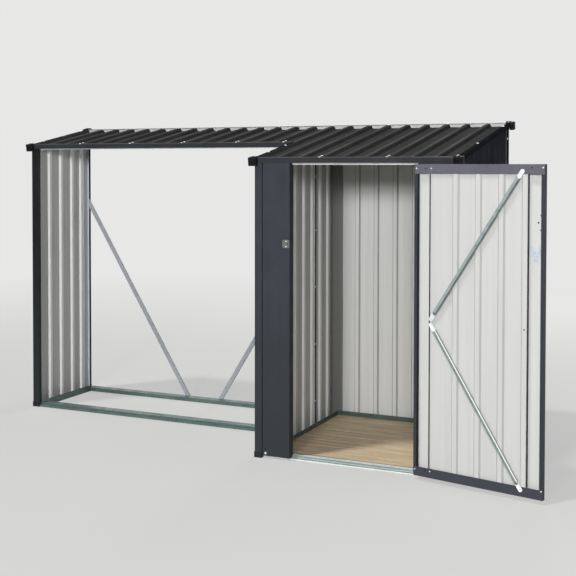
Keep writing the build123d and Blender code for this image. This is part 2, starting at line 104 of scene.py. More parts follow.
# The insides of the side walls, with the flanks of their ribs that face forwards or backwards
WALL_LEAN = 0.3
RIGHT_AND_FRONT = level(1, -WALL_LEAN)
RIGHT_AND_REAR = level(1, WALL_LEAN)
LEFT_AND_FRONT = level(-1, -WALL_LEAN)
LEFT_AND_REAR = level(-1, WALL_LEAN)

# The insides of the rear corner posts and of the rear trim
CORNER_RIGHT = (0.707, -0.707, 0)
CORNER_LEFT = (-0.707, -0.707, 0)
TRIM_INSIDE = (0, -0.98, -0.18)

# The roof's own directions: square to it, and up its slope
ROOF_UP = Vector((0, -math.sin(PITCH), math.cos(PITCH)))
ROOF_ALONG = Vector((0, math.cos(PITCH), math.sin(PITCH)))

# The open door's own directions: out of its inner face, and from the hinges to the free edge
OPENED = Matrix.Rotation(OPEN_ANGLE, 3, "Z")
DOOR_IN = OPENED @ Vector((0, 1, 0))
DOOR_ALONG = OPENED @ Vector((-1, 0, 0))


def swung(point):
    """Where a point of the closed door lies once the door is open."""
    return HINGE + OPENED @ (point - HINGE)


def door_point(u, y, z):
    """A point on the open door: u from the hinge edge, y from the outer face inwards."""
    return swung(Vector((LEAF_HALF - u, FRONT + y, z)))


# Node materials

# The sockets of a mix node that hold colours
MIX_A = 6
MIX_B = 7
MIX_RESULT = 2


class Paint:
    """A material built from nodes; most methods add a node or two and return the socket they end in."""

    def __init__(self, name):
        self.mat = bpy.data.materials.new(name)
        self.mat.use_nodes = True
        self.tree = self.mat.node_tree
        self.tree.nodes.clear()
        self.out = self.add("ShaderNodeOutputMaterial")
        self.shader = self.add("ShaderNodeBsdfPrincipled")
        self.link(self.shader.outputs["BSDF"], self.out.inputs["Surface"])
        self.coord = self.add("ShaderNodeTexCoord")

    def add(self, kind, **settings):
        node = self.tree.nodes.new(kind)
        for key, value in settings.items():
            setattr(node, key, value)
        return node

    def link(self, a, b):
        self.tree.links.new(a, b)

    def put(self, value, socket):
        """Links a socket to another one, or sets it to a constant."""
        if isinstance(value, bpy.types.NodeSocket):
            self.link(value, socket)
        else:
            socket.default_value = value

    def place(self, scale=(1, 1, 1), offset=(0, 0, 0)):
        """The object's own coordinates, scaled and moved."""
        node = self.add("ShaderNodeMapping")
        self.link(self.coord.outputs["Object"], node.inputs["Vector"])
        node.inputs["Scale"].default_value = scale
        node.inputs["Location"].default_value = offset
        return node.outputs["Vector"]

    def noise(self, scale, detail=3.0, rough=0.5, stretch=(1, 1, 1), warp=0.0):
        """Noise around one half; a small stretch draws it out along its axis."""
        node = self.add("ShaderNodeTexNoise")
        self.link(self.place(stretch), node.inputs["Vector"])
        node.inputs["Scale"].default_value = scale
        node.inputs["Detail"].default_value = detail
        node.inputs["Roughness"].default_value = rough
        node.inputs["Distortion"].default_value = warp
        return node.outputs["Fac"]

    def cells(self, scale):
        """Random colour per crystal, as separate channels."""
        node = self.add("ShaderNodeTexVoronoi")
        self.link(self.place(), node.inputs["Vector"])
        node.inputs["Scale"].default_value = scale
        split = self.add("ShaderNodeSeparateColor")
        self.link(node.outputs["Color"], split.inputs[0])
        return split.outputs

    def math(self, kind, a, b):
        node = self.add("ShaderNodeMath", operation=kind)
        self.put(a, node.inputs[0])
        self.put(b, node.inputs[1])
        return node.outputs[0]

    def span(self, value, low, high, to_low=0.0, to_high=1.0):
        """A value eased from one range to another, and held at its ends."""
        node = self.add("ShaderNodeMapRange", interpolation_type="SMOOTHSTEP")
        self.put(value, node.inputs["Value"])
        limits = (("From Min", low), ("From Max", high), ("To Min", to_low), ("To Max", to_high))
        for key, number in limits:
            self.put(number, node.inputs[key])
        return node.outputs["Result"]

    def mix(self, amount, a, b):
        """Colour a, turning into colour b as amount goes from 0 to 1."""
        node = self.add("ShaderNodeMix", data_type="RGBA")
        self.put(amount, node.inputs["Factor"])
        for socket, value in ((node.inputs[MIX_A], a), (node.inputs[MIX_B], b)):
            self.put(value if isinstance(value, bpy.types.NodeSocket) else (*value, 1.0), socket)
        return node.outputs[MIX_RESULT]

    def times(self, colour, factor):
        """A colour made lighter or darker by a number near 1."""
        node = self.add("ShaderNodeVectorMath", operation="SCALE")
        self.put(colour if isinstance(colour, bpy.types.NodeSocket) else tuple(colour), node.inputs[0])
        self.put(factor, node.inputs["Scale"])
        return node.outputs[0]

    def along(self, direction):
        """Distance along a direction of the object's own axes."""
        node = self.add("ShaderNodeVectorMath", operation="DOT_PRODUCT")
        self.link(self.coord.outputs["Object"], node.inputs[0])
        node.inputs[1].default_value = direction
        return node.outputs["Value"]

    def beyond(self, limit):
        """1 past a distance along a direction, given as the pair of both."""
        direction, distance = limit
        return self.math("GREATER_THAN", self.along(direction), distance)

    def facing(self, direction, low=0.05, high=0.15):
        """1 where the surface faces the direction, given in the object's own axes."""
        node = self.add("ShaderNodeVectorMath", operation="DOT_PRODUCT")
        self.link(self.coord.outputs["Normal"], node.inputs[0])
        node.inputs[1].default_value = direction
        return self.span(node.outputs["Value"], low, high)

    def bump(self, height, strength, distance, under=None):
        """A normal tilted by a height, over an earlier normal if one is given."""
        node = self.add("ShaderNodeBump")
        node.inputs["Strength"].default_value = strength
        node.inputs["Distance"].default_value = distance
        self.put(height, node.inputs["Height"])
        if under is not None:
            self.link(under, node.inputs["Normal"])
        return node.outputs["Normal"]

    def done(self, colour, rough, normal=None, **constants):
        """Joins the finished colour, roughness and normal to the shader, and returns the material."""
        self.put(colour, self.shader.inputs["Base Color"])
        self.put(rough, self.shader.inputs["Roughness"])
        if normal is not None:
            self.link(normal, self.shader.inputs["Normal"])
        for key, value in constants.items():
            self.shader.inputs[key.replace("_", " ")].default_value = value
        return self.mat


# Paint outside
ANTHRACITE = (0.0385, 0.0425, 0.0540)
# The next three are darker copies of the anthracite, painted shade: on the verges and two rear posts, on
# the right walls, and on the log bay's front post
SIDE_PAINTED_SHADE = (0.0200, 0.0210, 0.0230)
RIGHT_WALL_PAINTED_SHADE = (0.0320, 0.0345, 0.0430)
LOG_POST_PAINTED_SHADE = (0.0150, 0.0155, 0.0175)
TRIM_DARK = (0.0420, 0.0450, 0.0500)
ROOF_DARK = (0.0640, 0.0645, 0.0640)
# A paler roof colour, a painted highlight in patches on the crowns of the ribs
ROOF_PAINTED_SHEEN = (0.118, 0.120, 0.122)
RAIL_DARK = (0.0540, 0.0570, 0.0740)
# A lighter copy of the lower rail's paint, painted light on the door's top rail
RAIL_PAINTED_LIGHT = (0.130, 0.128, 0.160)
GROUND_TONE = (0.0330, 0.0400, 0.0420)

# Primer inside; under the roof a near-black colour in place of the primer, painted shade
PRIMER = (0.668, 0.670, 0.660)
DOOR_PRIMER = (0.615, 0.617, 0.608)
REAR_PRIMER = (0.735, 0.740, 0.730)
# Near-white primer, brighter than the other primer partly as painted light, on the rear trim's inside
# and on the header
WHITE_PRIMER = (0.950, 0.950, 0.940)
POST_PRIMER = (0.720, 0.750, 0.780)
# A darker copy of the primer, painted shade inside the cupboard's rear-left post
CORNER_PRIMER_PAINTED_SHADE = (0.290, 0.295, 0.290)
RUBBED_PRIMER = (0.33, 0.32, 0.29)
UNDERSIDE_PAINTED_SHADE = (0.045, 0.045, 0.044)

# Bare and plated metal
ZINC = (0.560, 0.610, 0.600)
# The next two are pale zinc for the door's upper and lower struts, painted highlights where the darker
# tones leave them
STRUT_PAINTED_HIGHLIGHT = (0.80, 0.83, 0.84)
LOWER_STRUT_PAINTED_HIGHLIGHT = (0.90, 0.93, 0.93)
BRACE_ZINC = (0.46, 0.49, 0.53)
# Near-white zinc, painted light on the door's threshold
THRESHOLD_PAINTED_LIGHT = (0.90, 0.94, 0.93)
# The next two are dark green-grey copies of the zinc, painted shade on the log bay's sills and on the
# base rails
LOG_SILL_PAINTED_SHADE = (0.120, 0.180, 0.165)
BASE_RAIL_PAINTED_SHADE = (0.085, 0.125, 0.112)
CATCH_PLATE = (0.62, 0.68, 0.74)
HINGE_PLATE = (0.56, 0.57, 0.57)
LATCH_PLATE = (0.17, 0.175, 0.18)
SCREW_PLATE = (0.80, 0.80, 0.79)

# Plastic and wood
RIVET_BLACK = (0.012, 0.012, 0.013)
CAP_BLACK = (0.013, 0.0135, 0.015)
SHOE_BLACK = (0.026, 0.030, 0.033)
CHALK = (0.16, 0.16, 0.155)
WOOD_PALE = (0.76, 0.62, 0.43)
WOOD_RING = (0.58, 0.44, 0.28)
WOOD_PORE = (0.36, 0.25, 0.14)
WOOD_GREYED = (0.54, 0.48, 0.39)

# Height over which paint loses the tone that it has at the ground
GROUND_FADE = 0.95

# Depth over which the painted highlight on a roof rib's crown fades in
CROWN_FADE = 0.002

# Share of a flank's painted light or shade that a rib's crown takes
CROWN_SHARE = 0.5


def weather(p, colour, low_tone):
    """Faint blotches and streaks, and a greener, duller tone towards the ground."""
    blotch = p.span(p.noise(5.0, 4.0, 0.6), 0.3, 0.72, 0.90, 1.09)
    streak = p.span(p.noise(26.0, 3.0, 0.6, stretch=(1, 1, 0.035)), 0.35, 0.7, 0.95, 1.06)
    colour = p.times(p.times(colour, blotch), streak)
    ragged = p.math("ADD", p.along(UP), p.span(p.noise(18.0, 3.0), 0.3, 0.7, -0.06, 0.06))
    near_ground = p.span(ragged, 0.0, GROUND_FADE, 0.75, 0.0)
    return p.mix(near_ground, colour, low_tone)


def painted_crown_sheen(p, colour, crowns):
    """A paler colour in patches on the crowns of ribs, a painted highlight."""
    direction, start, tone = crowns
    above = p.span(p.along(direction), start, start + CROWN_FADE)
    patches = p.span(p.noise(4.0, 4.0, 0.6, stretch=(2.0, 0.5, 0.5)), 0.35, 0.65, 0.35, 1.0)
    return p.mix(p.math("MULTIPLY", above, patches), colour, tone)


def primer(p, colour, flanks):
    """Matt primer with faint drawn streaks, painted light and shade on the ribs' sides and crowns, and a
    few rubbed places.
    """
    drawn = p.span(p.noise(45.0, 4.0, 0.6, stretch=(1, 1, 0.03)), 0.3, 0.7, 0.965, 1.025)
    grey = p.times(colour, drawn)
    if flanks is not None:
        directions, flat_painted_light, flank_painted_light, crest = flanks
        flank = 0.0
        for direction in directions:
            flank = p.math("MAXIMUM", flank, p.facing(direction, 0.40, 0.62))
        if crest is not None:
            flank = p.math("MAXIMUM", flank, p.math("MULTIPLY", p.beyond(crest), CROWN_SHARE))
        grey = p.times(grey, p.span(flank, 0.0, 1.0, flat_painted_light, flank_painted_light))
    rub = p.span(p.noise(60.0, 4.0, 0.7, stretch=(1, 1, 0.12)), 0.62, 0.80, 0.0, 0.10)
    return p.mix(rub, grey, RUBBED_PRIMER)


def primer_amount(p, inside_dir, band):
    """1 on the primed side of a sheet; a band is a direction and the limits of the primer along it."""
    inner = p.facing(inside_dir)
    if band is None:
        return inner
    direction, low, high = band
    along = p.along(direction)
    inside = p.math("MULTIPLY", p.math("GREATER_THAN", along, low), p.math("LESS_THAN", along, high))
    return p.math("MULTIPLY", inner, inside)


def sheet_paint(
    name,
    outside,
    inside_dir=None,
    inside=PRIMER,
    low_tone=GROUND_TONE,
    wave=0.5,
    gloss=0.16,
    primed=None,
    crowns=None,
    flanks=None,
):
    """Coil-coated thin steel: satin paint outside, matt primer on the side facing inside_dir.

    primed is the band that primer_amount takes.
    crowns is a direction, a distance along it and a colour: a painted highlight in patches above that
    distance.
    flanks is a list of directions, two factors and a crest: the primer's painted light or shade on flat
    stretches, and on the sides of ribs that face one of the directions. A crest is a direction and a
    distance along it, beyond which a rib's crown takes a share of the flank's painted light or shade.
    """
    p = Paint(name)
    colour = weather(p, outside, low_tone)
    colour = p.times(colour, p.span(p.noise(420.0, 2.0, 0.6), 0.35, 0.7, 0.94, 1.07))
    if crowns is not None:
        colour = painted_crown_sheen(p, colour, crowns)
    rough = p.span(p.noise(14.0, 4.0, 0.6), 0.3, 0.75, 0.46, 0.62)
    if inside_dir is not None:
        grey = primer(p, inside, flanks)
        inner = primer_amount(p, inside_dir, primed)
        colour = p.mix(inner, colour, grey)
        rough = p.math("SUBTRACT", rough, p.math("MULTIPLY", inner, 0.06))
    soft = p.noise(4.5, 2.0, 0.4, stretch=(1, 1, 0.12))
    normal = p.bump(soft, 0.35 * wave, 0.02)
    normal = p.bump(p.noise(900.0, 2.0, 0.5), 0.10, 0.0004, normal)
    return p.done(colour, rough, normal, Metallic=0.0, Specular_IOR_Level=gloss)


def galvanised(name, base=ZINC, metallic=0.85, rough_to=0.46, spangled=1.0, tones=(), gloss=0.5):
    """Hot-dip zinc with its spangle, dulled, with pale bloom and dust in places.

    Each of the tones is painted light or shade on the faces that turn one way: a direction, the limits
    between which a surface turns to face it, a colour, and either None or a direction and the distance
    along it beyond which the colour lies.
    """
    p = Paint(name)
    spangle = p.cells(120.0)
    change = 0.1 * spangled
    colour = p.times(base, p.span(spangle[0], 0.0, 1.0, 1 - change, 1 + change))
    colour = p.times(colour, p.span(p.noise(9.0, 4.0, 0.6), 0.3, 0.7, 1 - change, 1 + change))
    bloom = p.span(p.noise(34.0, 5.0, 0.65), 0.58, 0.78, 0.0, 0.30 * spangled)
    colour = p.mix(bloom, colour, tuple(min(1.0, 1.35 * c) for c in base))
    for direction, low, high, tone, limit in tones:
        uneven = p.times(tone, p.span(p.noise(30.0, 4.0, 0.6), 0.3, 0.7, 0.85, 1.12))
        amount = p.facing(direction, low, high)
        if limit is not None:
            amount = p.math("MULTIPLY", amount, p.beyond(limit))
        colour = p.mix(amount, colour, uneven)
    rough = p.span(p.noise(22.0, 4.0, 0.6), 0.3, 0.75, 0.26, rough_to)
    normal = p.bump(spangle[1], 0.06, 0.0004)
    normal = p.bump(p.noise(5.0, 2.0, 0.5), 0.12, 0.01, normal)
    return p.done(colour, rough, normal, Metallic=metallic, Specular_IOR_Level=gloss)


def moulded(name, base):
    """Black polypropylene with a fine mould grain and paler, rubbed places."""
    p = Paint(name)
    colour = p.times(base, p.span(p.noise(40.0, 4.0, 0.6), 0.3, 0.7, 0.8, 1.35))
    chalk = p.span(p.noise(90.0, 4.0, 0.7), 0.56, 0.78, 0.0, 0.03)
    colour = p.mix(chalk, colour, CHALK)
    rough = p.span(p.noise(55.0, 3.0), 0.3, 0.7, 0.46, 0.64)
    normal = p.bump(p.noise(1500.0, 2.0), 0.18, 0.0004)
    return p.done(colour, rough, normal, Specular_IOR_Level=0.03)


def plated(name, base, metallic=0.9, rough_to=0.42):
    """Zinc plating on screws, hinges, the catch and the latch plate."""
    p = Paint(name)
    colour = p.times(base, p.span(p.noise(160.0, 4.0, 0.6), 0.3, 0.7, 0.78, 1.08))
    rough = p.span(p.noise(240.0, 3.0), 0.3, 0.7, 0.24, rough_to)
    normal = p.bump(p.noise(700.0, 2.0), 0.12, 0.0003)
    return p.done(colour, rough, normal, Metallic=metallic)


# Boards are dark in their joints, from just below the top, and have a painted shadow of the threshold on
# the strip by it
JOINT_DARK_FROM = 0.0012
JOINT_DARK_TO = 0.0004
SILL_SHADOW_DARK_TO = 0.022
SILL_SHADOW_FADED_AT = 0.040


def planed_wood(name, top, front):
    """Pale softwood with growth rings along X, pores, greyed wear, dark joints and a painted shadow
    along the threshold.
    """
    p = Paint(name)
    grain = p.noise(9.0, 6.0, 0.62, stretch=(0.45, 9.0, 9.0), warp=0.6)
    rings = p.span(grain, 0.40, 0.62)
    colour = p.mix(rings, WOOD_PALE, WOOD_RING)
    pores = p.span(p.noise(70.0, 4.0, 0.7, stretch=(0.25, 16.0, 16.0)), 0.52, 0.72, 0.0, 0.25)
    colour = p.mix(pores, colour, WOOD_PORE)
    grey = p.span(p.noise(6.0, 4.0, 0.6), 0.45, 0.75, 0.0, 0.25)
    colour = p.mix(grey, colour, WOOD_GREYED)
    in_joint = p.span(p.along(UP), top - JOINT_DARK_FROM, top - JOINT_DARK_TO, 0.22, 1.0)
    painted_sill_shadow = p.span(p.along(TO_REAR), front + SILL_SHADOW_DARK_TO, front + SILL_SHADOW_FADED_AT, 0.35, 1.0)
    colour = p.times(colour, p.math("MINIMUM", in_joint, painted_sill_shadow))
    rough = p.span(grain, 0.3, 0.7, 0.55, 0.74)
    normal = p.bump(p.noise(40.0, 5.0, 0.65, stretch=(0.3, 12.0, 12.0)), 0.30, 0.0010)
    return p.done(colour, rough, normal, Specular_IOR_Level=0.25)


# Where primer lies on lipped pieces: between a stile's lips, and behind that of the log bay's rear post
HINGE_EDGE = DOOR_ALONG.dot(door_point(0, 0, 0))
LIP_END = STILE_LIP + SHEET / 2
BETWEEN_LIPS = (tuple(DOOR_ALONG), HINGE_EDGE + LIP_END, HINGE_EDGE + LEAF_WIDTH - LIP_END)
FAR_LEFT = -9.0
BEHIND_LIP = (TO_RIGHT, FAR_LEFT, LOG_LEFT + LOG_REAR_LEG - 0.5 * SHEET)

# The crowns of the roof's ribs, from a little below their top, which take a paler colour as a painted
# highlight
CROWN_HEIGHT = 0.005
ROOF_CROWNS = (tuple(ROOF_UP), ROOF_UP.dot(Vector((0, FRONT, FRONT_HEIGHT))) - CROWN_HEIGHT, ROOF_PAINTED_SHEEN)

# Painted light and shade on the primer of the ribs of walls and door: flats darker and flanks facing the
# front lighter on the side walls, side flanks darker than the flats on the rear wall and door; and the
# depth from a wall's outer face at which crowns start to take a share of it
CREST = 0.0095
LOG_FLANKS = ((TO_FRONT,), 0.80, 1.42, (TO_RIGHT, LOG_LEFT + CREST))
LEFT_FLANKS = ((TO_FRONT,), 0.80, 1.42, (TO_RIGHT, LEFT + CREST))
LEFT_REAR_FLANKS = ((TO_FRONT,), 0.70, 1.40, (TO_RIGHT, LEFT + CREST))
REAR_FLANKS = ((TO_RIGHT, TO_LEFT), 1.05, 0.60, None)
DOOR_FLANKS = ((tuple(DOOR_ALONG), tuple(-DOOR_ALONG)), 1.01, 0.80, None)

# The struts of the door: the two parts of the direction across them in the door's plane, and how far
# from the door's inner face their ridge starts and their flanges end
ACROSS_SIDEWAYS = 0.835
ACROSS_UPWARDS = 0.55
STRUT_SIDE = ACROSS_SIDEWAYS * DOOR_ALONG
STRUT_RISE = Vector((0, 0, ACROSS_UPWARDS))
DOOR_FACE = DOOR_IN.dot(swung(Vector((0, FRONT + DOOR_INNER, 0))))
RIDGE_START = 0.006
FLANGE_END = 0.004
ON_RIDGE = (tuple(DOOR_IN), DOOR_FACE + RIDGE_START)
ON_FLANGE = (tuple(-DOOR_IN), -DOOR_FACE - FLANGE_END)

# Painted light and shade on zinc by the way each face turns: a dull green-grey painted shade on faces
# turned down, and on the struts painted shade on their ridges and on one flank each, with their pale
# base colour left as a painted highlight elsewhere
DOWNWARD_PAINTED_SHADE = (UNDER, 0.20, 0.40, (0.17, 0.21, 0.195), None)
UPPER_STRUT_PAINTED_LIGHT = (
    (tuple(DOOR_IN), 0.70, 0.90, (0.33, 0.385, 0.405), ON_RIDGE),
    (tuple(STRUT_RISE - STRUT_SIDE), 0.35, 0.60, (0.10, 0.105, 0.12), None),
    DOWNWARD_PAINTED_SHADE,
)
LOWER_STRUT_PAINTED_LIGHT = (
    (tuple(STRUT_RISE + STRUT_SIDE), 0.35, 0.60, (0.17, 0.175, 0.175), ON_FLANGE),
    (tuple(DOOR_IN), 0.70, 0.90, (0.21, 0.265, 0.245), ON_RIDGE),
    DOWNWARD_PAINTED_SHADE,
)
# Painted shade on the threshold: a darker teal on its faces to the front above its lowest step
STEP_HEIGHT = 0.0045
THRESHOLD_PAINTED_SHADE = ((TO_FRONT, 0.35, 0.65, (0.24, 0.31, 0.30), (UP, STEP_HEIGHT)),)
# Painted light and shade on the rear braces: a darker underside and a lighter top
REAR_BRACE_PAINTED_LIGHT = (
    (UNDER, 0.20, 0.60, (0.10, 0.11, 0.115), None),
    (UP, 0.20, 0.60, (0.40, 0.42, 0.44), None),
)

paints = {
    "log_left": sheet_paint(
        "wall_log_left", ANTHRACITE, RIGHT_AND_FRONT, gloss=0.06, flanks=LOG_FLANKS
    ),
    "left_front": sheet_paint(
        "wall_left_front", ANTHRACITE, RIGHT_AND_FRONT, gloss=0.06, flanks=LEFT_FLANKS
    ),
    "left_rear": sheet_paint(
        "wall_left_rear", ANTHRACITE, RIGHT_AND_REAR, gloss=0.06, flanks=LEFT_REAR_FLANKS
    ),
    "right_front": sheet_paint("wall_right_front", RIGHT_WALL_PAINTED_SHADE, LEFT_AND_FRONT, gloss=0.0),
    "right_rear": sheet_paint("wall_right_rear", RIGHT_WALL_PAINTED_SHADE, LEFT_AND_REAR, gloss=0.0),
    "rear": sheet_paint("wall_rear", ANTHRACITE, TO_FRONT, REAR_PRIMER, gloss=0.06, flanks=REAR_FLANKS),
    "roof": sheet_paint(
        "roof_sheet",
        ROOF_DARK,
        UNDER,
        UNDERSIDE_PAINTED_SHADE,
        low_tone=ROOF_DARK,
        wave=0.3,
        gloss=0.0,
        crowns=ROOF_CROWNS,
    ),
    "panel": sheet_paint("front_panel", ANTHRACITE, TO_REAR, wave=0.7),
    "post_front": sheet_paint("post_front", ANTHRACITE, TO_REAR, wave=0.2),
    "post_log": sheet_paint("post_log", LOG_POST_PAINTED_SHADE, TO_REAR, wave=0.2, gloss=0.08),
    "post_rear_left": sheet_paint("post_rear_left", ANTHRACITE, CORNER_RIGHT, CORNER_PRIMER_PAINTED_SHADE, wave=0.2),
    "post_rear_log": sheet_paint(
        "post_rear_log", SIDE_PAINTED_SHADE, CORNER_RIGHT, POST_PRIMER, wave=0.2, gloss=0.0, primed=BEHIND_LIP
    ),
    "post_rear_right": sheet_paint("post_rear_right", SIDE_PAINTED_SHADE, CORNER_LEFT, wave=0.2, gloss=0.0),
    "trim": sheet_paint("roof_trim", TRIM_DARK, wave=0.2, gloss=0.05),
    "trim_verge": sheet_paint("verge_trim", SIDE_PAINTED_SHADE, wave=0.2, gloss=0.0),
    "trim_rear": sheet_paint("rear_trim", TRIM_DARK, TRIM_INSIDE, WHITE_PRIMER, wave=0.2, gloss=0.05),
    "door": sheet_paint("door_sheet", ANTHRACITE, tuple(DOOR_IN), DOOR_PRIMER, flanks=DOOR_FLANKS),
    "stile": sheet_paint("door_stile", ANTHRACITE, tuple(DOOR_IN), wave=0.3, primed=BETWEEN_LIPS),
    "rail_top": sheet_paint("door_rail_top", RAIL_PAINTED_LIGHT, wave=0.3),
    "rail_bottom": sheet_paint("door_rail_bottom", RAIL_DARK, low_tone=RAIL_DARK, wave=0.3),
    "header": sheet_paint("header_primer", WHITE_PRIMER, wave=0.2),
    "zinc": galvanised("galvanised_steel"),
    "zinc_strut": galvanised(
        "galvanised_strut", STRUT_PAINTED_HIGHLIGHT, metallic=0.2, rough_to=0.42, spangled=0.5, tones=UPPER_STRUT_PAINTED_LIGHT
    ),
    "zinc_lower_strut": galvanised(
        "galvanised_lower_strut", LOWER_STRUT_PAINTED_HIGHLIGHT, metallic=0.2, rough_to=0.42, spangled=0.4, tones=LOWER_STRUT_PAINTED_LIGHT
    ),
    "zinc_brace": galvanised(
        "galvanised_brace",
        BRACE_ZINC,
        metallic=0.0,
        rough_to=0.50,
        spangled=0.5,
        tones=REAR_BRACE_PAINTED_LIGHT,
        gloss=0.05,
    ),
    "zinc_bright": galvanised(
        "galvanised_threshold", THRESHOLD_PAINTED_LIGHT, metallic=0.15, spangled=0.4, tones=THRESHOLD_PAINTED_SHADE
    ),
    "zinc_sill": galvanised("galvanised_sill", LOG_SILL_PAINTED_SHADE, metallic=0.35, rough_to=0.6),
    "zinc_rail": galvanised("galvanised_rail", BASE_RAIL_PAINTED_SHADE, metallic=0.35, rough_to=0.6),
    "catch": plated("catch_plating", CATCH_PLATE, metallic=0.25, rough_to=0.5),
    "hinge": plated("hinge_plating", HINGE_PLATE, metallic=0.6, rough_to=0.5),
    "latch": plated("latch_plating", LATCH_PLATE, metallic=0.4, rough_to=0.5),
    "plated": plated("zinc_plating", SCREW_PLATE),
    "black": moulded("black_rivets", RIVET_BLACK),
    "plastic": moulded("black_plastic", CAP_BLACK),
    "shoe": moulded("shoe_plastic", SHOE_BLACK),
    "boards": planed_wood("softwood", FLOOR_HIGH.z, FLOOR_LOW.y),
}

# The paint of each node of the model; what isn't listed is plain zinc
FINISH = {
    "wall_log_left": "log_left",
    "wall_left_front": "left_front",
    "wall_left_rear": "left_rear",
    "wall_right_front": "right_front",
    "wall_right_rear": "right_rear",
    "wall_rear": "rear",
    "roof_log": "roof",
    "roof_cupboard": "roof",
    "front_panel_left": "panel",
    "front_panel_right": "panel",
    "post_log_front": "post_log",
    "post_front_left": "post_front",
    "post_front_right": "post_front",
    "post_log_rear": "post_rear_log",
    "rear_braces": "zinc_brace",
    "post_rear_left": "post_rear_left",
    "post_rear_right": "post_rear_right",
    "trim_front": "trim",
    "trim_log_front": "trim",
    "trim_rear": "trim_rear",
    "trims_verge": "trim_verge",
    "door_panel": "door",
    "door_stile_hinge": "stile",
    "door_stile_free": "stile",
    "door_rail_top": "rail_top",
    "door_rail_bottom": "rail_bottom",
    "door_header": "header",
    "log_sill": "zinc_sill",
    "log_rear_sill": "zinc_sill",
    "base_rail_left": "zinc_rail",
    "base_rail_right": "zinc_rail",
    "base_rail_rear": "zinc_rail",
    "base_rail_log_left": "zinc_rail",
    "door_sill": "zinc_bright",
    "latch_plate": "latch",
    "hinges_fixed": "hinge",
    "hinges_door": "hinge",
    "door_catch": "catch",
    "corner_caps": "plastic",
    "post_shoes": "shoe",
    "cupboard_floor": "boards",
}
for name, node in nodes.items():
    node.data.materials.clear()
    node.data.materials.append(paints[FINISH.get(name, "zinc")])


# Pieces


def piece(name, mesh_maker, paint, body):
    """Makes a mesh piece that rides on a body."""
    bm = bmesh.new()
    mesh_maker(bm)
    mesh = bpy.data.meshes.new(name)
    bm.to_mesh(mesh)
    bm.free()
    obj = bpy.data.objects.new(name, mesh)
    bpy.context.scene.collection.objects.link(obj)
    mesh.materials.append(paints[paint])
    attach(obj, body)
    return obj


def join_rings(bm, low, high):
    """Faces between two rings of as many points."""
    size = len(low)
    for k in range(size):
        j = (k + 1) % size
        bm.faces.new((low[k], low[j], high[j], high[k]))


def turned(bm, place, axis, profile, sides):
    """A turned shape: profile is (distance along axis, radius), from the base up."""
    turn = Vector(UP).rotation_difference(Vector(axis).normalized()).to_matrix()
    rings = []
    for along, radius in profile:
        ring = []
        for k in range(sides):
            a = 2 * math.pi * k / sides
            point = Vector((radius * math.cos(a), radius * math.sin(a), along))
            ring.append(bm.verts.new(Vector(place) + turn @ point))
        rings.append(ring)
    for low, high in zip(rings, rings[1:]):
        join_rings(bm, low, high)
    bm.faces.new(list(reversed(rings[0])))
    bm.faces.new(rings[-1])


# Profiles of heads, as distance from the sheet and radius: a screw with its washer, a bolt with its
# flange, a small screw, a blind rivet and a small plug
SCREW = (
    (0.0, 0.0056),
    (0.0007, 0.0056),
    (0.0009, 0.0044),
    (0.0019, 0.0040),
    (0.0026, 0.0028),
    (0.0028, 0.0012),
)
BOLT = ((0.0, 0.0062), (0.0008, 0.0062), (0.0010, 0.0050), (0.0034, 0.0050), (0.0040, 0.0042))
SMALL = ((0.0, 0.0032), (0.0005, 0.0031), (0.0010, 0.0022), (0.0012, 0.0010))
RIVET = ((0.0, 0.0036), (0.0006, 0.0034), (0.0010, 0.0024), (0.0012, 0.0010))
PLUG = ((0.0, 0.0018), (0.0003, 0.0016))
HEXAGON = 6


def heads(name, places, body="store", profile=SCREW, sides=14, paint="plated"):
    """Screw, bolt or rivet heads, each at (point, outward direction)."""

    def make(bm):
        for point, axis in places:
            turned(bm, point, axis, profile, sides)

    return piece(name, make, paint, body)


# Screws through the roof: on every third rib, one in the trim and one in the beam behind it, one in the
# rear trim, and a few down the verges, at distances up the slope
ROOF_LENGTH = DEPTH / math.cos(PITCH)
LOG_START = (LOG_FRONT - FRONT) / math.cos(PITCH)
RIB_SCREW_SPACING = 0.3
LOG_RIB_SCREWS = 4
CUPBOARD_RIB_SCREWS = 2
REAR_RIB_SCREWS = 7
TRIM_SCREW = 0.006
BEAM_SCREW = 0.033
REAR_TRIM_SCREW = 0.004
LAST_LOG_RIB = LEFT - 0.05
LAST_CUPBOARD_RIB = RIGHT - 0.008
VERGE_INSET = 0.002
RIGHT_VERGE_SCREWS = (0.327, 0.80)
LEFT_VERGE_SCREWS = (0.14, 0.32)
LOG_VERGE_SCREWS = (0.10, 0.28, 0.44)


def on_roof(x, v):
    """A place on the roof, v up the slope from its front edge, and the direction off the roof."""
    return (Vector((x, FRONT, FRONT_HEIGHT)) + v * ROOF_ALONG, ROOF_UP)


def rib_places(left, count):
    """The ribs with screws, from the one after a wall to the right."""
    return [left + RIB_SCREW_SPACING * k for k in range(1, count + 1)]


places = []
for x in rib_places(LOG_LEFT, LOG_RIB_SCREWS) + [LAST_LOG_RIB]:
    for v in (TRIM_SCREW, BEAM_SCREW):
        places.append(on_roof(x, LOG_START + v))
for x in rib_places(LEFT, CUPBOARD_RIB_SCREWS) + [LAST_CUPBOARD_RIB]:
    for v in (TRIM_SCREW, BEAM_SCREW):
        places.append(on_roof(x, v))
for x in rib_places(LOG_LEFT, REAR_RIB_SCREWS):
    places.append(on_roof(x, ROOF_LENGTH - REAR_TRIM_SCREW))
for v in RIGHT_VERGE_SCREWS:
    places.append(on_roof(RIGHT - VERGE_INSET, v))
for v in LEFT_VERGE_SCREWS:
    places.append(on_roof(LEFT + VERGE_INSET, v))
for v in LOG_VERGE_SCREWS:
    places.append(on_roof(LOG_LEFT + VERGE_INSET, LOG_START + v))
heads("screws_roof", places)

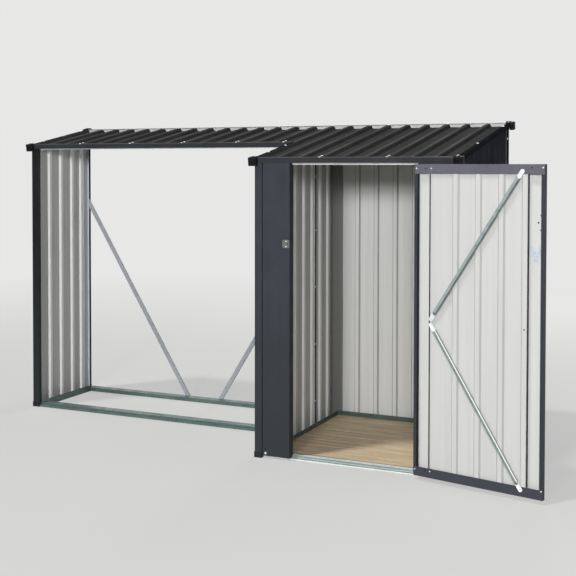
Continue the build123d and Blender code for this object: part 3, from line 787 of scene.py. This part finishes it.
# Screws at the foot of the fixed panels, with a black plug above each
PANEL_INSET = 0.052
PANEL_SCREW_HEIGHT = 0.023
PANEL_PLUG_HEIGHT = 0.041


def on_panels(z):
    """A place at one height on each fixed panel."""
    return [((x, FRONT, z), TO_FRONT) for x in (LEFT + PANEL_INSET, RIGHT - PANEL_INSET)]


heads("screws_front", on_panels(PANEL_SCREW_HEIGHT))
heads("plugs_front", on_panels(PANEL_PLUG_HEIGHT), profile=RIVET, paint="black")

# Small screws down the cupboard's seams
SEAM_INSET = 0.0155
SEAM_HEIGHTS = (0.12, 0.40, 0.68, 0.957, 1.22)
seam_places = []
for z in SEAM_HEIGHTS:
    for side in (-1, 1):
        seam_places.append(((side * (RIGHT - SEAM_INSET), SEAM + SHEET, z), TO_FRONT))
heads("screws_seams", seam_places, profile=SMALL)

# Screws in the sides and the rear: up the posts, and along the rails at the foot
RAIL_SCREW = 0.024
POST_MIDDLE = 0.027
REAR_POST_INSET = 0.03
POST_HEIGHTS = (0.05, 0.45, 0.85)
FRONT_POST = (*POST_HEIGHTS, 1.22)
LOG_POST = (*POST_HEIGHTS, 1.25)
REAR_FACE = (*POST_HEIGHTS, 1.25)
REAR_POST = (*POST_HEIGHTS, 1.25, 1.40)
RIGHT_RAIL = (FRONT + 0.20, FRONT + 0.44, FRONT + 0.68)
LEFT_RAIL = (FRONT + 0.14, FRONT + 0.30)
LOG_RAIL = (LOG_FRONT + 0.15, LOG_FRONT + 0.34)
REAR_RAIL = (-0.25, -0.05, 0.15, 0.35)


def side_screws(x, out, ys, zs):
    """Places on a side wall, at each of the depths and heights."""
    return [((x, y, z), out) for y in ys for z in zs]


places = []
places += side_screws(LEFT, TO_LEFT, (FRONT + POST_MIDDLE,), FRONT_POST)
places += side_screws(RIGHT, TO_RIGHT, (FRONT + POST_MIDDLE,), FRONT_POST)
places += side_screws(RIGHT, TO_RIGHT, (REAR - POST_MIDDLE,), REAR_POST)
places += side_screws(LOG_LEFT, TO_LEFT, (LOG_FRONT + POST_MIDDLE, REAR - POST_MIDDLE), LOG_POST)
places += side_screws(RIGHT, TO_RIGHT, RIGHT_RAIL, (RAIL_SCREW,))
places += side_screws(LOG_LEFT, TO_LEFT, LOG_RAIL, (RAIL_SCREW,))
places += side_screws(LEFT, TO_LEFT, LEFT_RAIL, (RAIL_SCREW,))
for x in (LEFT + REAR_POST_INSET, RIGHT - REAR_POST_INSET):
    for z in REAR_FACE:
        places.append(((x, REAR, z), TO_REAR))
for x in REAR_RAIL:
    places.append(((x, REAR, RAIL_SCREW), TO_REAR))
heads("screws_sides", places)

# Bolts at the upper ends of the struts behind the log bay
BRACE_FACE = REAR - 0.016
BRACE_BOLT_HEIGHT = 1.056
BRACE_BOLT_INSET = 0.026
brace_bolts = []
for x in (LOG_LEFT + BRACE_BOLT_INSET, LEFT - BRACE_BOLT_INSET):
    brace_bolts.append(((x, BRACE_FACE, BRACE_BOLT_HEIGHT), TO_FRONT))
heads("bolts_rear_braces", brace_bolts, profile=BOLT, sides=HEXAGON)


# Fastenings of the door, given on the closed door and swung open with it


def on_door(u, z, y=DOOR_INNER):
    """A place on the door, u from the hinge edge, and the direction out of its inner face."""
    return (door_point(u, y, z), DOOR_IN)


def on_rails(top, foot):
    """Places on the door's rails: u with the distance below the leaf's top, and above its foot."""
    return [on_door(u, DOOR_TOP - z) for u, z in top] + [on_door(u, DOOR_FOOT + z) for u, z in foot]


TOP_SCREWS = ((0.0085, 0.017), (0.0762, 0.017), (0.5495, 0.0135))
FOOT_SCREWS = ((0.0070, 0.025), (0.0755, 0.027), (0.5515, 0.034))
TOP_RIVETS = ((0.0511, 0.017), (0.5057, 0.0135))
FOOT_RIVETS = ((0.0516, 0.027),)
SHEET_RIVET = (0.4789, 0.653)

heads("screws_door", on_rails(TOP_SCREWS, FOOT_SCREWS), body="door", profile=SMALL)
heads("rivets_door", on_rails(TOP_RIVETS, FOOT_RIVETS), body="door", profile=SMALL, paint="black")
stile_plug = [on_door(LEAF_WIDTH - BOLT_HOLE_INSET, BOLT_HOLE_HEIGHT, SHEET)]
heads("plug_stile", stile_plug, body="door", profile=RIVET, paint="black")
stile_screws = []
for dz in (-BOLT_SCREW_OFFSET, BOLT_SCREW_OFFSET):
    stile_screws.append(on_door(LEAF_WIDTH - BOLT_SCREW_INSET, BOLT_HOLE_HEIGHT + dz, SHEET))
heads("screws_stile", stile_screws, body="door", profile=SMALL, paint="latch")
sheet_rivet = [on_door(*SHEET_RIVET, DOOR_INNER - SHEET)]
heads("rivet_door_sheet", sheet_rivet, body="door", profile=RIVET, paint="latch")


# Struts of the door: pressed strips in place of the plain channels

STRUT_HALF = 0.009
STRUT_TAB = 0.030
STRUT_BEND = 0.012
STRUT_RIM = 0.0007

# Stations across a strut, as shares of its half width: a ridge up to RIDGE_SHARE on both sides of its
# middle, then a flange, whose raised rim in the flat tab is full height after RIM_SHARE more
RIDGE_SHARE = 0.5
RIM_SHARE = 0.2
STRUT_ACROSS = (-1.0, -0.8, -0.65, -0.5, 0.0, 0.5, 0.65, 0.8, 1.0)

# Stations along a strut's round end, as shares of its half width, and along the bend after its tab
ROUND_STATIONS = (0.02, 0.12, 0.35, 0.65, 1.0)
BEND_STATIONS = (0.0, 0.3, 0.7, 1.0)
TIP_BOLT = 0.011
APEX_BOLT = 0.010
STRUT_PLUG = (0.2789, 0.9635)


def strut_rings(length, half):
    """Stations along a pressed strut: distance, half width, and how far it has left the flat tab."""
    stations = []
    for part in ROUND_STATIONS:
        reach = part * half
        width = math.sqrt(max(half * half - (half - reach) ** 2, 0))
        stations.append((reach, width, 0.0))
    for part in BEND_STATIONS:
        lift = part * part * (3 - 2 * part)
        stations.append((STRUT_TAB + part * STRUT_BEND, half, lift))
    return stations + [(length - s, w, k) for s, w, k in reversed(stations)]


def strut_height(f, lift, depth):
    """Height of a strut's underside at a share f of its half width."""
    ridge = (depth - SHEET) * min(1.0, (1 - abs(f)) / RIDGE_SHARE)
    rim = STRUT_RIM * min(1.0, max(0.0, (abs(f) - RIDGE_SHARE) / RIM_SHARE))
    return lift * ridge + (1 - lift) * rim


def pressed_strut(bm, start, end, out, half, depth):
    """A strip pressed into a ridge, flat and rounded at both ends; out is away from what carries it."""
    run = (end - start).normalized()
    across = run.cross(out)
    rings = []
    for s, width, lift in strut_rings((end - start).length, half):
        ring = []
        for thickness, shares in ((SHEET, STRUT_ACROSS), (0, STRUT_ACROSS[::-1])):
            for f in shares:
                height = strut_height(f, lift, depth) + thickness
                ring.append(bm.verts.new(start + s * run + f * width * across + height * out))
        rings.append(ring)
    for low, high in zip(rings, rings[1:]):
        join_rings(bm, low, high)
    bm.faces.new(rings[0])
    bm.faces.new(list(reversed(rings[-1])))
    bmesh.ops.recalc_face_normals(bm, faces=bm.faces)


middle = (DOOR_TOP + DOOR_FOOT) / 2
strut_bolts = []
for name, paint, end_z, apex_z in (
    ("door_brace_upper", "zinc_strut", DOOR_TOP - BRACE_TIP_INSET, middle + APEX_GAP / 2),
    ("door_brace_lower", "zinc_lower_strut", DOOR_FOOT + BRACE_TIP_INSET, middle - APEX_GAP / 2),
):
    tip = door_point(BRACE_TIP, DOOR_INNER, end_z)
    apex = door_point(BRACE_APEX, DOOR_INNER, apex_z)

    def make(bm, tip=tip, apex=apex):
        pressed_strut(bm, tip, apex, DOOR_IN, STRUT_HALF, BRACE_DEPTH)

    strut = piece(name.replace("brace", "strut"), make, paint, "door")
    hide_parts(name)
    run = (apex - tip).normalized()
    strut_bolts.append((tip + TIP_BOLT * run + SHEET * DOOR_IN, DOOR_IN))
    strut_bolts.append((apex - APEX_BOLT * run + SHEET * DOOR_IN, DOOR_IN))
heads("bolts_door_braces", strut_bolts, body="door", profile=SMALL, sides=HEXAGON)
strut_plug = [on_door(*STRUT_PLUG, DOOR_INNER + BRACE_DEPTH)]
heads("strut_plug", strut_plug, body="door", profile=PLUG, paint="black")

# Screws of the hinges, on both leaves, and of the latch plate
HINGE_COUNT = 3
HINGE_INSET = 0.12
HINGE_SCREW_SPACING = 0.020
HINGE_PROUD = 0.0015
MOVING_SCREW = 0.0135
FIXED_SCREW = 0.299
LATCH_SCREW_SHIFT = 0.0005
LATCH_SCREW_OFFSET = 0.0115

hinge_span = DOOR_TOP - DOOR_FOOT - 2 * HINGE_INSET
moving = []
fixed = []
for k in range(HINGE_COUNT):
    z = DOOR_FOOT + HINGE_INSET + k * hinge_span / (HINGE_COUNT - 1)
    for dz in (-HINGE_SCREW_SPACING, 0.0, HINGE_SCREW_SPACING):
        moving.append((door_point(MOVING_SCREW, -HINGE_PROUD, z + dz), -DOOR_IN))
        fixed.append(((FIXED_SCREW, FRONT - HINGE_PROUD, z + dz), TO_FRONT))
heads("screws_hinge_door", moving, body="door")
heads("screws_hinge_fixed", fixed)
latch_screws = []
for dz in (-LATCH_SCREW_OFFSET, LATCH_SCREW_OFFSET):
    latch_screws.append((LATCH_CENTRE + Vector((LATCH_SCREW_SHIFT, 0, dz)), TO_FRONT))
heads("screws_latch", latch_screws, profile=SMALL)


# Floor of the cupboard: planed boards in place of the plain slab

BOARD_COUNT = 8
BOARD_GAP = 0.004
JOINT_DEPTH = 0.005
BOARD_EDGE = 0.0010


def floor_boards(bm):
    """Boards with open joints over a plain base, in the same box as the slab."""
    front, rear = FLOOR_LOW.y, FLOOR_HIGH.y
    width = (rear - front + BOARD_GAP) / BOARD_COUNT
    foot, joint, top = FLOOR_LOW.z, FLOOR_HIGH.z - JOINT_DEPTH, FLOOR_HIGH.z
    shoulder = top - BOARD_EDGE
    outlines = [[(front, foot), (rear, foot), (rear, joint), (front, joint)]]
    for k in range(BOARD_COUNT):
        y0 = front + k * width
        y1 = y0 + width - BOARD_GAP
        board = [(y0, joint), (y1, joint), (y1, shoulder)]
        board += [(y1 - BOARD_EDGE, top), (y0 + BOARD_EDGE, top), (y0, shoulder)]
        outlines.append(board)
    for outline in outlines:
        ends = []
        for x in (FLOOR_LOW.x, FLOOR_HIGH.x):
            ends.append([bm.verts.new((x, y, z)) for y, z in outline])
        join_rings(bm, ends[0], ends[1])
        bm.faces.new(ends[0])
        bm.faces.new(list(reversed(ends[1])))
    bmesh.ops.recalc_face_normals(bm, faces=bm.faces)


boards = piece("floor_boards", floor_boards, "boards", "store")
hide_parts("cupboard_floor")


# Studio

BACKDROP = (0.80, 0.80, 0.795, 1.0)
FLOOR_COLOUR = (0.52, 0.52, 0.51, 1.0)
SKY_COLOUR = (0.95, 0.97, 1.0, 1.0)
SKY_STRENGTH = 0.05
STUDIO_MIDDLE = 0.75
STUDIO_RADIUS = 40.0
STUDIO_SIDES = 64
FLOOR_ROUGHNESS = 0.85
FADE_START = 1.5
FADE_END = 7.5
NEAR_GLOW = 0.55


def seen_rays(tree):
    """1 for rays from the camera and for mirrored ones, which see the backdrop, and 0 for the rest."""
    rays = tree.nodes.new("ShaderNodeLightPath")
    both = tree.nodes.new("ShaderNodeMath")
    both.operation = "MAXIMUM"
    tree.links.new(rays.outputs["Is Camera Ray"], both.inputs[0])
    tree.links.new(rays.outputs["Is Glossy Ray"], both.inputs[1])
    return both.outputs[0]


def floor_paint():
    """Pale floor that keeps shadows near the object and runs out into the backdrop."""
    p = Paint("studio_floor")
    p.done(FLOOR_COLOUR, FLOOR_ROUGHNESS, Specular_IOR_Level=0.0)
    glow = p.add("ShaderNodeEmission")
    glow.inputs["Color"].default_value = BACKDROP
    length = p.add("ShaderNodeVectorMath", operation="LENGTH")
    p.link(p.place(offset=(STUDIO_MIDDLE, 0, 0)), length.inputs[0])
    far = p.span(length.outputs["Value"], FADE_START, FADE_END, NEAR_GLOW, 1.0)
    blend = p.add("ShaderNodeMixShader")
    p.link(p.math("MULTIPLY", far, seen_rays(p.tree)), blend.inputs[0])
    p.link(p.shader.outputs["BSDF"], blend.inputs[1])
    p.link(glow.outputs[0], blend.inputs[2])
    p.link(blend.outputs[0], p.out.inputs["Surface"])
    return p.mat


def studio_world():
    """A world that is seen as the backdrop and lights the object only faintly."""
    world = bpy.data.worlds.new("studio")
    world.use_nodes = True
    tree = world.node_tree
    tree.nodes.clear()
    out = tree.nodes.new("ShaderNodeOutputWorld")
    shown = tree.nodes.new("ShaderNodeBackground")
    shown.inputs["Color"].default_value = BACKDROP
    lit = tree.nodes.new("ShaderNodeBackground")
    lit.inputs["Color"].default_value = SKY_COLOUR
    lit.inputs["Strength"].default_value = SKY_STRENGTH
    mixer = tree.nodes.new("ShaderNodeMixShader")
    tree.links.new(seen_rays(tree), mixer.inputs[0])
    tree.links.new(lit.outputs[0], mixer.inputs[1])
    tree.links.new(shown.outputs[0], mixer.inputs[2])
    tree.links.new(mixer.outputs[0], out.inputs["Surface"])
    return world


bm = bmesh.new()
bmesh.ops.create_circle(bm, cap_ends=True, radius=STUDIO_RADIUS, segments=STUDIO_SIDES)
mesh = bpy.data.meshes.new("studio_floor")
bm.to_mesh(mesh)
bm.free()
floor = bpy.data.objects.new("studio_floor", mesh)
floor.location = (-STUDIO_MIDDLE, 0, 0)
mesh.materials.append(floor_paint())
bpy.context.scene.collection.objects.link(floor)

bpy.context.scene.world = studio_world()


def lamp(name, place, aim, size, power):
    """A round white lamp that the camera doesn't see."""
    data = bpy.data.lights.new(name, "AREA")
    data.shape = "DISK"
    data.size = size
    data.energy = power
    obj = bpy.data.objects.new(name, data)
    obj.location = place
    obj.rotation_euler = (Vector(aim) - Vector(place)).to_track_quat("-Z", "Y").to_euler()
    obj.visible_camera = False
    bpy.context.scene.collection.objects.link(obj)


def sun(name, toward, strength, spread, colour):
    """Even light from the direction toward, spread over an angle in degrees."""
    data = bpy.data.lights.new(name, "SUN")
    data.energy = strength
    data.angle = math.radians(spread)
    data.color = colour
    obj = bpy.data.objects.new(name, data)
    obj.rotation_euler = Vector(toward).to_track_quat("Z", "Y").to_euler()
    bpy.context.scene.collection.objects.link(obj)


# Two low lamps in front, the second further right, a high sun from the left, and weak lamps behind and
# at both sides
lamp("key_front", place=(0.45, -7.60, 2.40), aim=(-0.5, -0.2, 0.8), size=1.0, power=200)
lamp("key_right", place=(2.35, -6.60, 2.35), aim=(-0.3, -0.1, 0.8), size=1.2, power=145)
sun("key_high", toward=(-0.249, -0.342, 0.906), strength=1.6, spread=6.0, colour=(1.0, 0.997, 0.985))
lamp("back", place=(-0.5, 6.4, 3.0), aim=(-0.7, 0.3, 0.7), size=2.0, power=170)
lamp("side_right", place=(7.0, 0.1, 1.8), aim=(0.4, 0.0, 0.7), size=1.6, power=75)
lamp("side_left", place=(-7.5, 2.2, 3.2), aim=(-1.9, 0.2, 0.7), size=3.0, power=90)

# Camera at the photograph's place, turned to the left, slightly down and hardly rolled, in radians
CAMERA_PLACE = (1.5908, -4.600, 1.2670)
YAW = 0.4282
TILT = 0.0294
ROLL = 0.0011
SENSOR_WIDTH = 36.0
LENS = 66.71
SHIFT_X = 0.00425
SHIFT_Y = -0.1563
FAR_CLIP = 200.0

ahead = Vector((-math.sin(YAW), math.cos(YAW), 0))
across = Vector((math.cos(YAW), math.sin(YAW), 0))
look = ahead * math.cos(TILT) - Vector(UP) * math.sin(TILT)
above = ahead * math.sin(TILT) + Vector(UP) * math.cos(TILT)
side = across * math.cos(ROLL) + above * math.sin(ROLL)
above = above * math.cos(ROLL) - across * math.sin(ROLL)

cam_data = bpy.data.cameras.new("camera")
cam_data.sensor_width = SENSOR_WIDTH
cam_data.lens = LENS
cam_data.shift_x = SHIFT_X
cam_data.shift_y = SHIFT_Y
cam_data.clip_end = FAR_CLIP
cam = bpy.data.objects.new("camera", cam_data)
cam.matrix_world = Matrix.Translation(CAMERA_PLACE) @ Matrix((side, above, -look)).transposed().to_4x4()
bpy.context.scene.collection.objects.link(cam)
bpy.context.scene.camera = cam

bpy.context.scene.view_settings.view_transform = "Standard"
